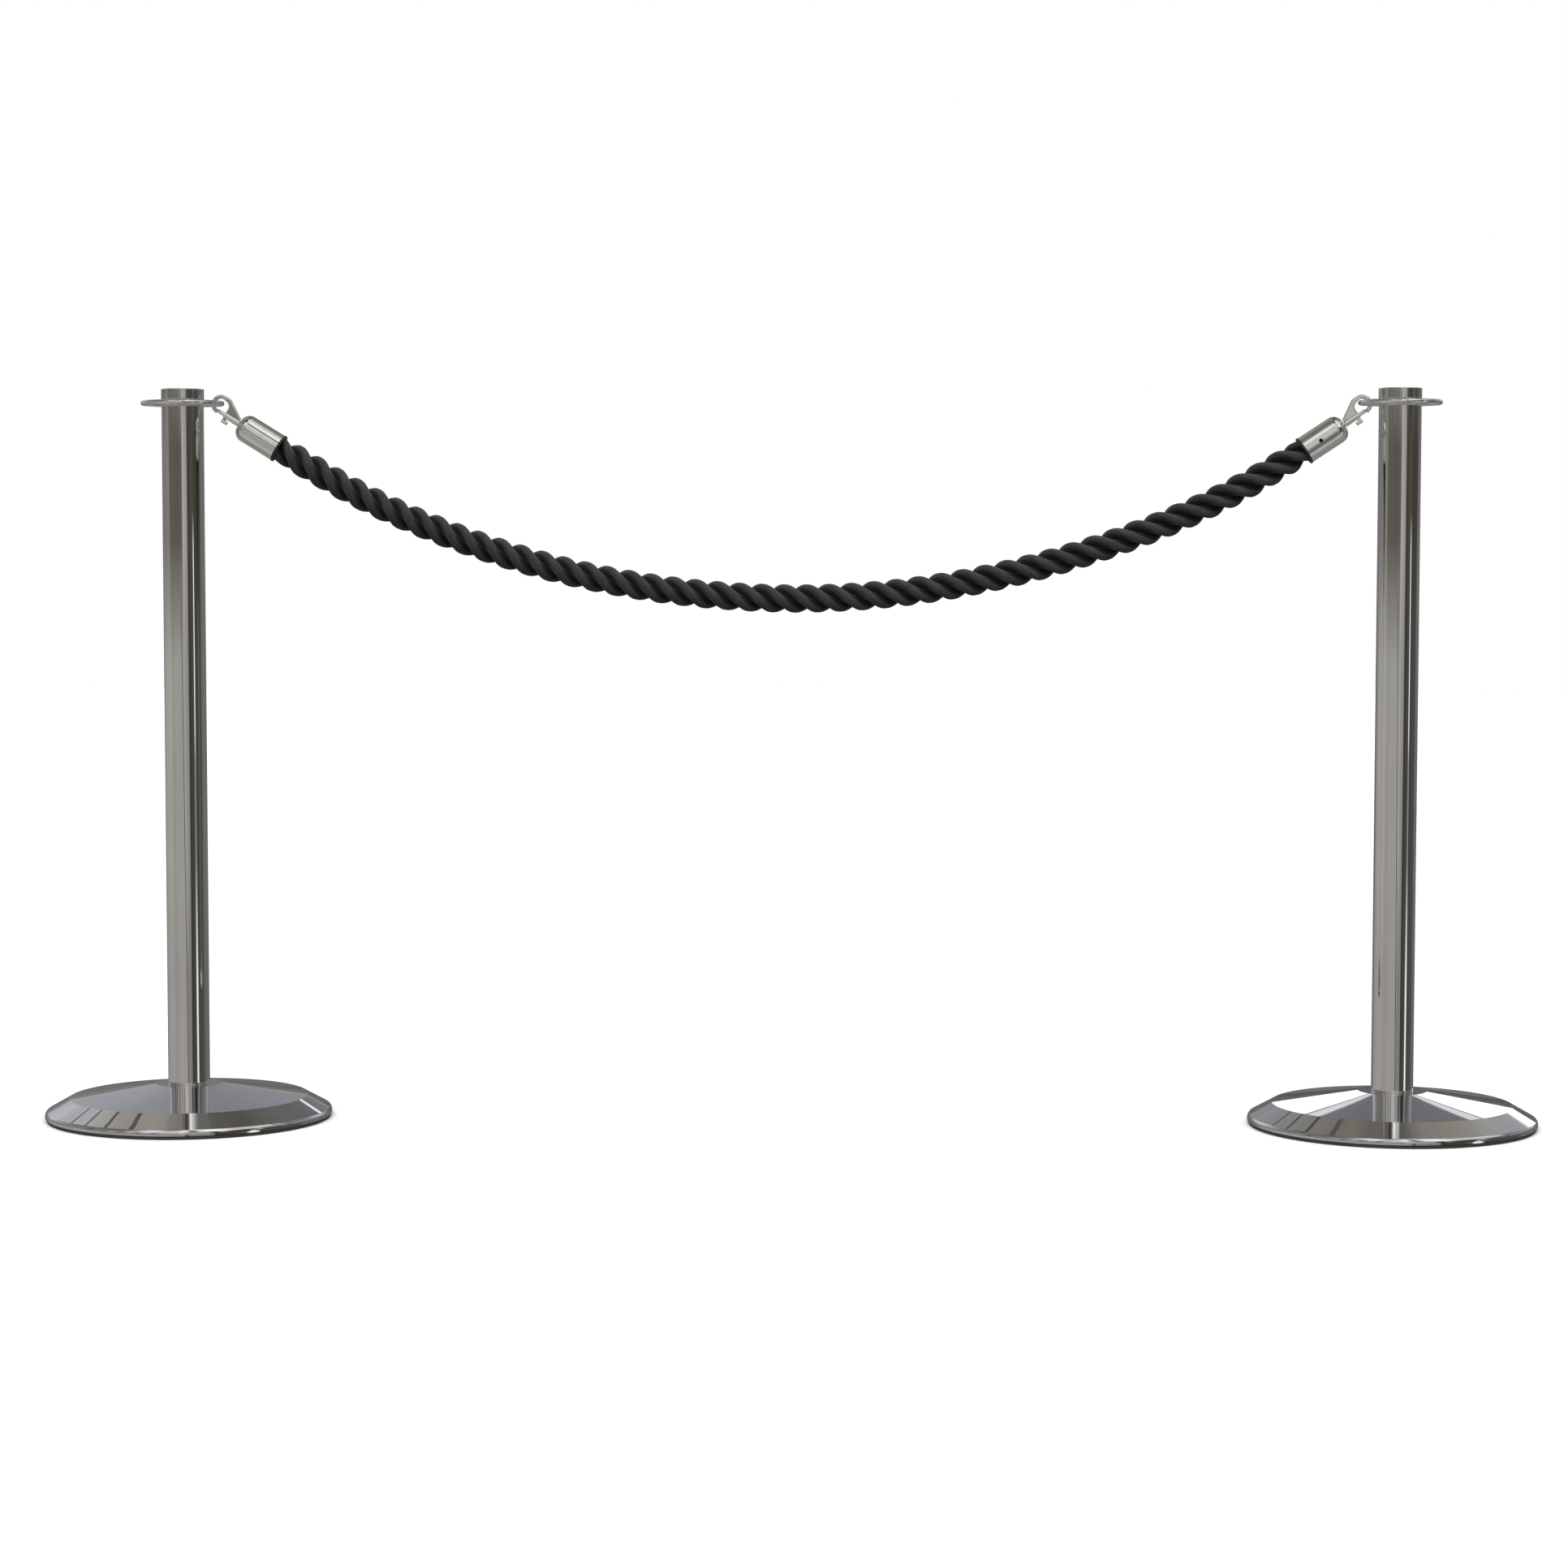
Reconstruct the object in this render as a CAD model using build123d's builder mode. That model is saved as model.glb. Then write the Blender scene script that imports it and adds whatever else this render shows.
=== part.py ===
"""Rope barrier set: two ring-top stanchions joined by a twisted rope with a bolt snap at each end.

Millimetres, +Z up. X runs along the span, and the origin is on the floor midway between the posts.
Every stanchion piece is turned about its post's axis. Every rope-end piece lies on its cup's axis:
u runs from the cup's neck to the hook's tip, v is square to it in the upright plane of the rope.
"""
from build123d import *
import os
from math import cos, pi, radians, sin, sqrt, tan

# Stanchions
SPAN = 1477.0            # post axis to post axis
POST_X = {"left": -SPAN / 2, "right": SPAN / 2}
POST_TOP_Z = 895.0
TUBE_R = 25.5
TUBE_WALL = 1.5
PLUG_FIT = 0.05          # radial gap of a plug in the tube
PLUG_LENGTH = 28.0
CAP_HEIGHT = 14.3
CAP_R = 25.9
CAP_TOP_ROUND = 1.0
CAP_FOOT_ROUND = 2.2

# Base: rubber ring, cast weight, spun cover
RUBBER_HEIGHT = 4.5
RUBBER_R = 173.5
RUBBER_INNER_R = 158.0
RUBBER_ROUND = 1.5
RIM_R = 175.0
RIM_Z = 6.5              # widest height of the rolled rim
RIM_CURVE = (174.5, 9.4)
SKIRT_R, SKIRT_Z = 172.9, 11.8
BREAK_R, BREAK_Z = 145.5, 27.2
SEAT_R, SEAT_Z = 41.2, 43.0
COVER_SKIN = 1.2
SKIRT_INSET, BREAK_INSET = 0.7, 0.4   # of the skin's inner corners
WEIGHT_GAP = 0.4         # air between cover and weight on the cones
WEIGHT_SEAT_INSET, WEIGHT_BREAK_INSET, WEIGHT_SKIRT_INSET = 1.0, 2.0, 3.0
RELIEF_INNER_R, RELIEF_OUTER_R, RELIEF_Z = 45.0, 150.0, 12.0
FOOT_RING_HEIGHT = 2.8
FOOT_RING_R = 25.2
FOOT_RING_ROUND = 0.6

# Fasteners
BOLT_R = 6.0             # M12
BOLT_FLATS = 18.0
BOLT_HEAD_HEIGHT = 7.5
BOLT_ENGAGEMENT = 22.0
BOLT_HOLE_R = 6.6
BOLT_END_CHAMFER = 1.0
WASHER_R = 12.0
WASHER_HEIGHT = 2.5
WASHER_CHAMFER = 0.4
HEAD_RECESS_R = 15.0
HEAD_RECESS_Z = 18.0
THREAD_FIT = 0.02        # radial gap that stands for a thread
STUD_R = 4.0             # M8
STUD_ENGAGEMENT = 20.0
CAP_BORE_DEPTH = 10.0
STUD_REACH = 9.0         # of the stud into the cap
STUD_HOLE_R = 4.3
STUD_CHAMFER = 0.6

# Rope ring
RING_WIRE_R = 3.0
RING_R = 47.5            # to the middle of the wire
RING_Z = 877.7
SPOKE_R = 2.2
SPOKE_START_ANGLE = 45.0
SPOKE_ROOT = 2.0         # of a spoke into the hub's edge
SPOKE_COUNT = 4

# Rope: one end's seat in its cup to the other's, as x and z
ROPE_R = 15.3
ARC_SHARE = 0.45         # of the shorter run that an arc takes up
ROPE_ROUTE = [
    (-657.2, 845.4), (-598.6, 809.1), (-514, 761), (-420, 720), (-317, 685),
    (-215, 661), (-110, 646), (-6, 640), (95, 643), (199, 656),
    (300, 678), (403, 710), (508, 753), (602.5, 805.4), (660, 843.5),
]

# Cup on the rope's end, along -u from its neck
CUP_R = 17.0
CUP_SHOULDER_R = 12.5
CUP_LENGTH = 55.5
CUP_BORE_R = 15.5
ROPE_SEAT = 14.0         # neck to the rope's end
CUP_POCKET_R = 8.0
CUP_WALL = 5.0           # end wall that the swivel turns in
COLLAR_R = 17.6
COLLAR_LENGTH = 3.0
COLLAR_ROUND = 0.8
SCREW_HOLE_R = 2.5
SCREW_R = 2.4
SCREW_FROM_MOUTH = 20.0
SCREW_OUTER, SCREW_INNER = 15.2, 8.0   # distances from the cup's axis
SCREW_SOCKET_FLATS = 2.5
SCREW_SOCKET_DEPTH = 2.5
SCREW_SIDE = {"left": 1, "right": -1}  # which way along Y the screw faces

# Swivel
SWIVEL_R = 2.5
SWIVEL_FIT = 0.07
SWIVEL_HEAD_R = 4.5
SWIVEL_HEAD_HEIGHT = 3.0
SWIVEL_WASHER_R = 6.0
SWIVEL_WASHER_HEIGHT = 1.0
SWIVEL_PLAY = 0.1        # end play inside the cup
SWIVEL_REACH = 5.0       # of the stud's tip past the neck

# Hook, bolt and spring
HOOK_THICKNESS = 5.0
HOOK_TAIL_U = 1.5
HOOK_FRONT_U = 21.0      # where the bolt leaves the body
HOOK_NOSE_U = 31.0       # face that the bolt closes on
HOOK_FOOT_V = -2.6
HOOK_TAIL_V = 6.4
HOOK_CORNER = (23.6, 20.2)
CROWN_CENTRE = (30.9, 8.3)
CROWN_R = 12.0
EYE_R = 7.1
EYE_BACK_CENTRE = (27.3, 8.0)
EYE_BACK_R = 6.6
HOOK_CORNER_ROUND = 3.0
HOOK_EDGE_ROUND = 1.8
BARREL_R = 3.9
LATCH_R = 2.2            # the sliding bolt
LATCH_FIT = 0.1
LATCH_TIP_U = 30.7
LATCH_TAIL_U = 15.7
LATCH_TRAVEL = 7.5
LATCH_EDGE = 0.3
STEM_BACK_U, STEM_FRONT_U = 16.2, 20.2
STEM_THICKNESS = 2.2
STEM_FIT = 0.25
KNOB_V = -7.8
KNOB_R = 2.15
KNOB_BACK_U, KNOB_FRONT_U = 12.6, 20.8
KNOB_ROUND = 0.6
SPRING_WIRE_R = 0.25
SPRING_R = 1.85
SPRING_TURNS = 5

SAME = 0.01              # radii and places closer than this are the same
OVERRUN = 1.0            # how far a cut runs past what it cuts

COVER_UNDER_Z = SEAT_Z - COVER_SKIN
TUBE_FOOT_Z = SEAT_Z + FOOT_RING_HEIGHT
CAP_FOOT_Z = POST_TOP_Z - CAP_HEIGHT
HUB_FOOT_Z = RING_Z - RING_WIRE_R
TUBE_BORE_R = TUBE_R - TUBE_WALL


def post_axis(side):
    return Axis((POST_X[side], 0, 0), (0, 0, 1))


def post_section(side):
    """Upright plane through a post's axis: local x is the radius, local y the height."""
    return Plane(origin=(POST_X[side], 0, 0), x_dir=(1, 0, 0), z_dir=(0, -1, 0))


def post_level(side, z):
    return Plane(origin=(POST_X[side], 0, z))


def hitch(side):
    """Plane of one rope end: local x is u, local y is v, and its origin is the cup's neck."""
    seat, inside = ROPE_ROUTE[:2] if side == "left" else ROPE_ROUTE[:-3:-1]
    outward = Vector(seat[0] - inside[0], 0, seat[1] - inside[1]).normalized()
    neck = Vector(seat[0], 0, seat[1]) + outward * ROPE_SEAT
    return Plane(origin=neck, x_dir=outward, z_dir=(0, 1 if side == "left" else -1, 0))


def hitch_axis(side):
    return Axis(hitch(side).origin, hitch(side).x_dir)


def cross_plane(side, u, v=0.0):
    """Plane square to a rope end's axis, facing the hook's tip."""
    return Plane(origin=hitch(side).from_local_coords((u, v, 0)), z_dir=hitch(side).x_dir)


def rims(piece, radius):
    """Round edges of that radius."""
    circles = piece.edges().filter_by(GeomType.CIRCLE)
    return circles.filter_by(lambda edge: abs(edge.radius - radius) < SAME)


def finish(piece, node):
    """Label a finished sub-part and write it as one STEP file."""
    piece.part.label = node
    export_step(piece.part, f"parts/{node}.step")


def make_base_cover(side):
    """Spun cover: flat seat, two cones and a rolled rim, one skin thick."""
    with BuildPart() as base_cover:
        with BuildSketch(post_section(side)):
            with BuildLine():
                Polyline((BOLT_HOLE_R, COVER_UNDER_Z), (BOLT_HOLE_R, SEAT_Z), (SEAT_R, SEAT_Z),
                         (BREAK_R, BREAK_Z), (SKIRT_R, SKIRT_Z))
                ThreePointArc((SKIRT_R, SKIRT_Z), RIM_CURVE, (RIM_R, RIM_Z))
                Polyline((RIM_R, RIM_Z), (RIM_R, RUBBER_HEIGHT),
                         (RIM_R - COVER_SKIN, RUBBER_HEIGHT), (RIM_R - COVER_SKIN, RIM_Z))
                Polyline((RIM_R - COVER_SKIN, RIM_Z),
                         (SKIRT_R - SKIRT_INSET, SKIRT_Z - COVER_SKIN),
                         (BREAK_R - BREAK_INSET, BREAK_Z - COVER_SKIN),
                         (SEAT_R, COVER_UNDER_Z), (BOLT_HOLE_R, COVER_UNDER_Z))
            make_face()
        revolve(axis=post_axis(side))
    finish(base_cover, f"{side}_base_cover")


def make_base_weight(side):
    """Cast disc that follows the cover's cones, with a head recess and an underside relief."""
    with BuildPart() as base_weight:
        with BuildSketch(post_section(side)):
            with BuildLine():
                Polyline((BOLT_HOLE_R, HEAD_RECESS_Z), (BOLT_HOLE_R, COVER_UNDER_Z),
                         (SEAT_R - WEIGHT_SEAT_INSET, COVER_UNDER_Z),
                         (BREAK_R - WEIGHT_BREAK_INSET, BREAK_Z - COVER_SKIN - WEIGHT_GAP),
                         (SKIRT_R - WEIGHT_SKIRT_INSET, SKIRT_Z - COVER_SKIN - WEIGHT_GAP),
                         (SKIRT_R, RUBBER_HEIGHT), (RELIEF_OUTER_R, RUBBER_HEIGHT),
                         (RELIEF_OUTER_R, RELIEF_Z), (RELIEF_INNER_R, RELIEF_Z),
                         (RELIEF_INNER_R, RUBBER_HEIGHT), (HEAD_RECESS_R, RUBBER_HEIGHT),
                         (HEAD_RECESS_R, HEAD_RECESS_Z), close=True)
            make_face()
        revolve(axis=post_axis(side))
    finish(base_weight, f"{side}_base_weight")


def make_base_rubber_ring(side):
    with BuildPart() as base_rubber_ring:
        with BuildSketch(post_level(side, 0)):
            Circle(RUBBER_R)
            Circle(RUBBER_INNER_R, mode=Mode.SUBTRACT)
        extrude(amount=RUBBER_HEIGHT)
        fillet(base_rubber_ring.faces().sort_by(Axis.Z)[0].outer_wire().edges(), RUBBER_ROUND)
    finish(base_rubber_ring, f"{side}_base_rubber_ring")


def make_base_washer(side):
    with BuildPart() as base_washer:
        with BuildSketch(post_level(side, HEAD_RECESS_Z - WASHER_HEIGHT)):
            Circle(WASHER_R)
            Circle(BOLT_HOLE_R, mode=Mode.SUBTRACT)
        extrude(amount=WASHER_HEIGHT)
        chamfer(base_washer.faces().sort_by(Axis.Z)[0].outer_wire().edges(), WASHER_CHAMFER)
    finish(base_washer, f"{side}_base_washer")


def make_base_bolt(side):
    """M12 hexagon bolt from below, through weight, cover and foot ring into the foot plug."""
    head_top = HEAD_RECESS_Z - WASHER_HEIGHT
    with BuildPart() as base_bolt:
        with BuildSketch(post_level(side, head_top - BOLT_HEAD_HEIGHT)):
            RegularPolygon(BOLT_FLATS / 2, 6, major_radius=False)
        extrude(amount=BOLT_HEAD_HEIGHT)
        with BuildSketch(post_level(side, head_top)):
            Circle(BOLT_R)
        extrude(amount=TUBE_FOOT_Z + BOLT_ENGAGEMENT - head_top)
        chamfer(base_bolt.edges().sort_by(Axis.Z)[-1], BOLT_END_CHAMFER)
    finish(base_bolt, f"{side}_base_bolt")


def make_foot_ring(side):
    with BuildPart() as foot_ring:
        with BuildSketch(post_level(side, SEAT_Z)):
            Circle(FOOT_RING_R)
            Circle(BOLT_HOLE_R, mode=Mode.SUBTRACT)
        extrude(amount=FOOT_RING_HEIGHT)
        fillet(rims(foot_ring, FOOT_RING_R), FOOT_RING_ROUND)
    finish(foot_ring, f"{side}_foot_ring")


def make_foot_plug(side):
    with BuildPart() as foot_plug:
        with BuildSketch(post_level(side, TUBE_FOOT_Z)):
            Circle(TUBE_BORE_R - PLUG_FIT)
            Circle(BOLT_R + THREAD_FIT, mode=Mode.SUBTRACT)
        extrude(amount=PLUG_LENGTH)
    finish(foot_plug, f"{side}_foot_plug")


def make_post_tube(side):
    with BuildPart() as post_tube:
        with BuildSketch(post_level(side, TUBE_FOOT_Z)):
            Circle(TUBE_R)
            Circle(TUBE_BORE_R, mode=Mode.SUBTRACT)
        extrude(amount=HUB_FOOT_Z - TUBE_FOOT_Z)
    finish(post_tube, f"{side}_post_tube")


def make_head_plug(side):
    with BuildPart() as head_plug:
        with BuildSketch(post_level(side, HUB_FOOT_Z - PLUG_LENGTH)):
            Circle(TUBE_BORE_R - PLUG_FIT)
            Circle(STUD_R + THREAD_FIT, mode=Mode.SUBTRACT)
        extrude(amount=PLUG_LENGTH)
    finish(head_plug, f"{side}_head_plug")


def make_rope_ring(side):
    """Round-wire ring, four spokes and the hub disc clamped under the cap, welded into one."""
    with BuildPart() as rope_ring:
        with BuildSketch(post_level(side, HUB_FOOT_Z)):
            Circle(TUBE_R)
            Circle(STUD_HOLE_R, mode=Mode.SUBTRACT)
        extrude(amount=2 * RING_WIRE_R)
        with BuildSketch(post_section(side)):
            with Locations((RING_R, RING_Z)):
                Circle(RING_WIRE_R)
        revolve(axis=post_axis(side))
        for number in range(SPOKE_COUNT):
            angle = radians(SPOKE_START_ANGLE + number * 360 / SPOKE_COUNT)
            away = Vector(cos(angle), sin(angle), 0)
            root = Vector(POST_X[side], 0, RING_Z) + away * (TUBE_R - SPOKE_ROOT)
            with BuildSketch(Plane(origin=root, z_dir=away)):
                Circle(SPOKE_R)
            extrude(amount=RING_R - TUBE_R + SPOKE_ROOT)
    finish(rope_ring, f"{side}_rope_ring")


def make_cap_stud(side):
    with BuildPart() as cap_stud:
        with BuildSketch(post_level(side, HUB_FOOT_Z - STUD_ENGAGEMENT)):
            Circle(STUD_R)
        extrude(amount=CAP_FOOT_Z + STUD_REACH - HUB_FOOT_Z + STUD_ENGAGEMENT)
        chamfer(rims(cap_stud, STUD_R), STUD_CHAMFER)
    finish(cap_stud, f"{side}_cap_stud")


def make_top_cap(side):
    with BuildPart() as top_cap:
        with BuildSketch(post_level(side, CAP_FOOT_Z)):
            Circle(CAP_R)
        extrude(amount=CAP_HEIGHT)
        fillet(top_cap.edges().group_by(Axis.Z)[-1], CAP_TOP_ROUND)
        fillet(top_cap.faces().sort_by(Axis.Z)[0].outer_wire().edges(), CAP_FOOT_ROUND)
        with Locations(Plane(origin=(POST_X[side], 0, CAP_FOOT_Z), z_dir=(0, 0, -1))):
            Hole(STUD_R + THREAD_FIT, depth=CAP_BORE_DEPTH)
    finish(top_cap, f"{side}_top_cap")


def make_ferrule(side):
    """Drawn cup with a domed shoulder. Its end wall carries the swivel stud."""
    shoulder_u = -CUP_SHOULDER_R
    shoulder_v = CUP_R - CUP_SHOULDER_R
    mid = CUP_SHOULDER_R / sqrt(2)
    bore_r = SWIVEL_R + SWIVEL_FIT
    with BuildPart() as ferrule:
        with BuildSketch(hitch(side)):
            with BuildLine():
                Line((0, bore_r), (0, shoulder_v))
                ThreePointArc((0, shoulder_v), (shoulder_u + mid, shoulder_v + mid),
                              (shoulder_u, CUP_R))
                Polyline((shoulder_u, CUP_R), (-CUP_LENGTH, CUP_R), (-CUP_LENGTH, CUP_BORE_R),
                         (-ROPE_SEAT, CUP_BORE_R), (-ROPE_SEAT, CUP_POCKET_R),
                         (-CUP_WALL, CUP_POCKET_R), (-CUP_WALL, bore_r), (0, bore_r))
            make_face()
        revolve(axis=hitch_axis(side))
        centre = hitch(side).from_local_coords((SCREW_FROM_MOUTH - CUP_LENGTH, 0, 0))
        with BuildSketch(Plane(origin=centre, z_dir=(0, SCREW_SIDE[side], 0))):
            Circle(SCREW_HOLE_R)
        extrude(amount=CUP_R + OVERRUN, mode=Mode.SUBTRACT)
    finish(ferrule, f"{side}_ferrule")


def make_ferrule_collar(side):
    with BuildPart() as ferrule_collar:
        with BuildSketch(cross_plane(side, -CUP_LENGTH - COLLAR_LENGTH)):
            Circle(COLLAR_R)
            Circle(CUP_BORE_R, mode=Mode.SUBTRACT)
        extrude(amount=COLLAR_LENGTH)
        fillet(rims(ferrule_collar, COLLAR_R), COLLAR_ROUND)
    finish(ferrule_collar, f"{side}_ferrule_collar")


def make_ferrule_screw(side):
    """Set screw below the cup's surface, with its point in the rope."""
    facing = (0, SCREW_SIDE[side], 0)
    centre = hitch(side).from_local_coords((SCREW_FROM_MOUTH - CUP_LENGTH, 0, 0))
    with BuildPart() as ferrule_screw:
        with BuildSketch(Plane(origin=centre, z_dir=facing).offset(SCREW_INNER)):
            Circle(SCREW_R)
        extrude(amount=SCREW_OUTER - SCREW_INNER)
        with BuildSketch(Plane(origin=centre, z_dir=facing).offset(SCREW_OUTER)):
            RegularPolygon(SCREW_SOCKET_FLATS / 2, 6, major_radius=False)
        extrude(amount=-SCREW_SOCKET_DEPTH, mode=Mode.SUBTRACT)
    finish(ferrule_screw, f"{side}_ferrule_screw")


def make_swivel_washer(side):
    with BuildPart() as swivel_washer:
        with BuildSketch(cross_plane(side, -CUP_WALL - SWIVEL_PLAY)):
            Circle(SWIVEL_WASHER_R)
            Circle(SWIVEL_R + SWIVEL_FIT, mode=Mode.SUBTRACT)
        extrude(amount=-SWIVEL_WASHER_HEIGHT)
    finish(swivel_washer, f"{side}_swivel_washer")


def make_swivel_stud(side):
    """Headed rivet: its head is held inside the cup, its tip is pressed into the hook's tail."""
    head_u = -CUP_WALL - SWIVEL_PLAY - SWIVEL_WASHER_HEIGHT
    with BuildPart() as swivel_stud:
        with BuildSketch(cross_plane(side, head_u)):
            Circle(SWIVEL_HEAD_R)
        extrude(amount=-SWIVEL_HEAD_HEIGHT)
        with BuildSketch(cross_plane(side, head_u)):
            Circle(SWIVEL_R)
        extrude(amount=SWIVEL_REACH - head_u)
    finish(swivel_stud, f"{side}_swivel_stud")


def hook_outline():
    """Outer edge of the hook's plate: tail, straight back, round crown and nose."""
    cu, cv = CROWN_CENTRE
    with BuildSketch() as outline:
        with BuildLine():
            Polyline((HOOK_TAIL_U, HOOK_FOOT_V), (HOOK_TAIL_U, HOOK_TAIL_V), HOOK_CORNER,
                     (cu, cv + CROWN_R), (cu, HOOK_FOOT_V), close=True)
        make_face()
        with Locations(CROWN_CENTRE):
            Circle(CROWN_R)
        fillet(outline.vertices().sort_by_distance(HOOK_CORNER)[0], HOOK_CORNER_ROUND)
        with BuildSketch(mode=Mode.SUBTRACT):
            with Locations(CROWN_CENTRE):
                Circle(EYE_R)
            with Locations(EYE_BACK_CENTRE):
                Circle(EYE_BACK_R)
            make_hull()
        with BuildSketch(mode=Mode.SUBTRACT):
            below = cv - CROWN_R - OVERRUN
            Polygon((HOOK_FRONT_U, below), (HOOK_FRONT_U, EYE_BACK_CENTRE[1]),
                    (HOOK_NOSE_U, EYE_BACK_CENTRE[1]), (HOOK_NOSE_U, below), align=None)
    return outline.sketch


def make_hook_body(side):
    """Flat plate with a round crown, and a barrel along its foot that the bolt slides in."""
    outline = hook_outline()
    with BuildPart() as hook_body:
        with BuildSketch(hitch(side)):
            add(outline)
        extrude(amount=HOOK_THICKNESS / 2, both=True)
        fillet(hook_body.faces().filter_by(Axis.Y).edges(), HOOK_EDGE_ROUND)
        with BuildSketch(cross_plane(side, HOOK_TAIL_U)):
            Circle(BARREL_R)
        extrude(amount=HOOK_FRONT_U - HOOK_TAIL_U)
        with BuildSketch(cross_plane(side, SWIVEL_REACH)):
            Circle(LATCH_R + LATCH_FIT)
        extrude(amount=HOOK_FRONT_U - SWIVEL_REACH, mode=Mode.SUBTRACT)
        with BuildSketch(cross_plane(side, HOOK_TAIL_U)):
            Circle(SWIVEL_R)
        extrude(amount=SWIVEL_REACH - HOOK_TAIL_U, mode=Mode.SUBTRACT)
        slot_back = STEM_BACK_U - LATCH_TRAVEL - STEM_FIT
        with BuildSketch(hitch(side)):
            front, below = HOOK_FRONT_U + OVERRUN, -BARREL_R - OVERRUN
            Polygon((slot_back, 0), (front, 0), (front, below), (slot_back, below), align=None)
        extrude(amount=STEM_THICKNESS / 2 + STEM_FIT, both=True, mode=Mode.SUBTRACT)
    finish(hook_body, f"{side}_hook_body")


def make_hook_bolt(side):
    """Sliding bolt, the stem through the barrel's slot and the thumb knob."""
    with BuildPart() as hook_bolt:
        with BuildSketch(cross_plane(side, KNOB_BACK_U, KNOB_V)):
            Circle(KNOB_R)
        extrude(amount=KNOB_FRONT_U - KNOB_BACK_U)
        fillet(hook_bolt.edges().filter_by(GeomType.CIRCLE), KNOB_ROUND)
        with BuildSketch(cross_plane(side, LATCH_TAIL_U)):
            Circle(LATCH_R)
        extrude(amount=LATCH_TIP_U - LATCH_TAIL_U)
        chamfer(rims(hook_bolt, LATCH_R), LATCH_EDGE)
        with BuildSketch(hitch(side)):
            Polygon((STEM_BACK_U, 0), (STEM_FRONT_U, 0), (STEM_FRONT_U, KNOB_V),
                    (STEM_BACK_U, KNOB_V), align=None)
        extrude(amount=STEM_THICKNESS / 2, both=True)
    finish(hook_bolt, f"{side}_hook_bolt")


def make_bolt_spring(side):
    """Compression spring between the swivel stud's tip and the bolt's tail."""
    end_gap = 2 * SPRING_WIRE_R
    start = cross_plane(side, SWIVEL_REACH + end_gap)
    length = LATCH_TAIL_U - SWIVEL_REACH - 2 * end_gap
    with BuildPart() as bolt_spring:
        with BuildLine() as coil:
            Helix(pitch=length / SPRING_TURNS, height=length, radius=SPRING_R,
                  center=start.origin, direction=start.z_dir)
        path = coil.wire()
        with BuildSketch(Plane(origin=path @ 0, z_dir=path % 0)):
            Circle(SPRING_WIRE_R)
        sweep(path=path, is_frenet=True)
    finish(bolt_spring, f"{side}_bolt_spring")


def arc_radii(points):
    """Largest tangent arc at each inner point of a route, from its shorter run and its turn."""
    radii = []
    for before, point, after in zip(points, points[1:], points[2:]):
        run_in, run_out = point - before, after - point
        half_turn = radians(run_in.get_angle(run_out)) / 2
        radii.append(ARC_SHARE * min(run_in.length, run_out.length) / tan(half_turn))
    return radii


def make_rope():
    """The hanging rope as a plain tube from seat to seat."""
    points = [Vector(x, 0, z) for x, z in ROPE_ROUTE]
    radii = arc_radii(points)
    with BuildPart() as rope:
        with BuildLine() as route:
            FilletPolyline(*points, radius=radii)
        path = route.wire()
        with BuildSketch(Plane(origin=path @ 0, z_dir=path % 0)):
            Circle(ROPE_R)
        sweep(path=path)
    expected = pi * ROPE_R ** 2 * path.length
    print("rope arc radii", [round(radius) for radius in radii])
    print(f"rope length {path.length:.1f}, volume over section times length",
          f"{rope.part.volume / expected:.5f}")
    finish(rope, "rope")


STANCHION_PIECES = [
    make_base_cover, make_base_weight, make_base_rubber_ring, make_base_washer, make_base_bolt,
    make_foot_ring, make_foot_plug, make_post_tube, make_head_plug, make_rope_ring,
    make_cap_stud, make_top_cap,
]
ROPE_END_PIECES = [
    make_ferrule, make_ferrule_collar, make_ferrule_screw, make_swivel_washer,
    make_swivel_stud, make_hook_body, make_hook_bolt, make_bolt_spring,
]

os.makedirs("parts", exist_ok=True)
for side in ("left", "right"):
    for make_piece in STANCHION_PIECES + ROPE_END_PIECES:
        make_piece(side)
make_rope()
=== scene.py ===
"""Looks of the rope barrier set: polished posts, nickel rope ends and a dark three-strand rope.

Metres: +X along the span, +Z up, the floor at z = 0.
"""
from math import ceil, cos, exp, pi, radians, sin

import bpy
from mathutils import Matrix, Vector


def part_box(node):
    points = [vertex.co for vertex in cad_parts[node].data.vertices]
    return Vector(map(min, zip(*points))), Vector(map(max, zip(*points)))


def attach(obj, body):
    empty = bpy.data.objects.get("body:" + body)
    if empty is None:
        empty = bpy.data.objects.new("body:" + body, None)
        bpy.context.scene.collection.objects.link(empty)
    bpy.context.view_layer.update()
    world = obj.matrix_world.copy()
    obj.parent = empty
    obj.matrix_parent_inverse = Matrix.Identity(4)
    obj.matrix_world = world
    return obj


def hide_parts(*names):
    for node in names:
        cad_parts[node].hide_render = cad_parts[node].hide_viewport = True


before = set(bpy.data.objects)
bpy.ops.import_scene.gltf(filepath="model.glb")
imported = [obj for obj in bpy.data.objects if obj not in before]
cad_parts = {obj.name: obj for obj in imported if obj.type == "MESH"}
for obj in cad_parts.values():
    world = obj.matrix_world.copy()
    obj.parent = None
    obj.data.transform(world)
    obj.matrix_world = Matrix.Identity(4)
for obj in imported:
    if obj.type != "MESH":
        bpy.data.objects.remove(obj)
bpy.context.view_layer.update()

SIDES = ("left", "right")

# Camera
CAMERA_PLACE = (0.1590, -4.2931, 0.6931)
CAMERA_YAW = radians(-2.17088)     # to the right of +Y
CAMERA_PITCH = radians(3.70519)    # below the horizon
CAMERA_ROLL = radians(0.05325)
CAMERA_LENS, CAMERA_SENSOR = 80.98, 36.0

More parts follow.
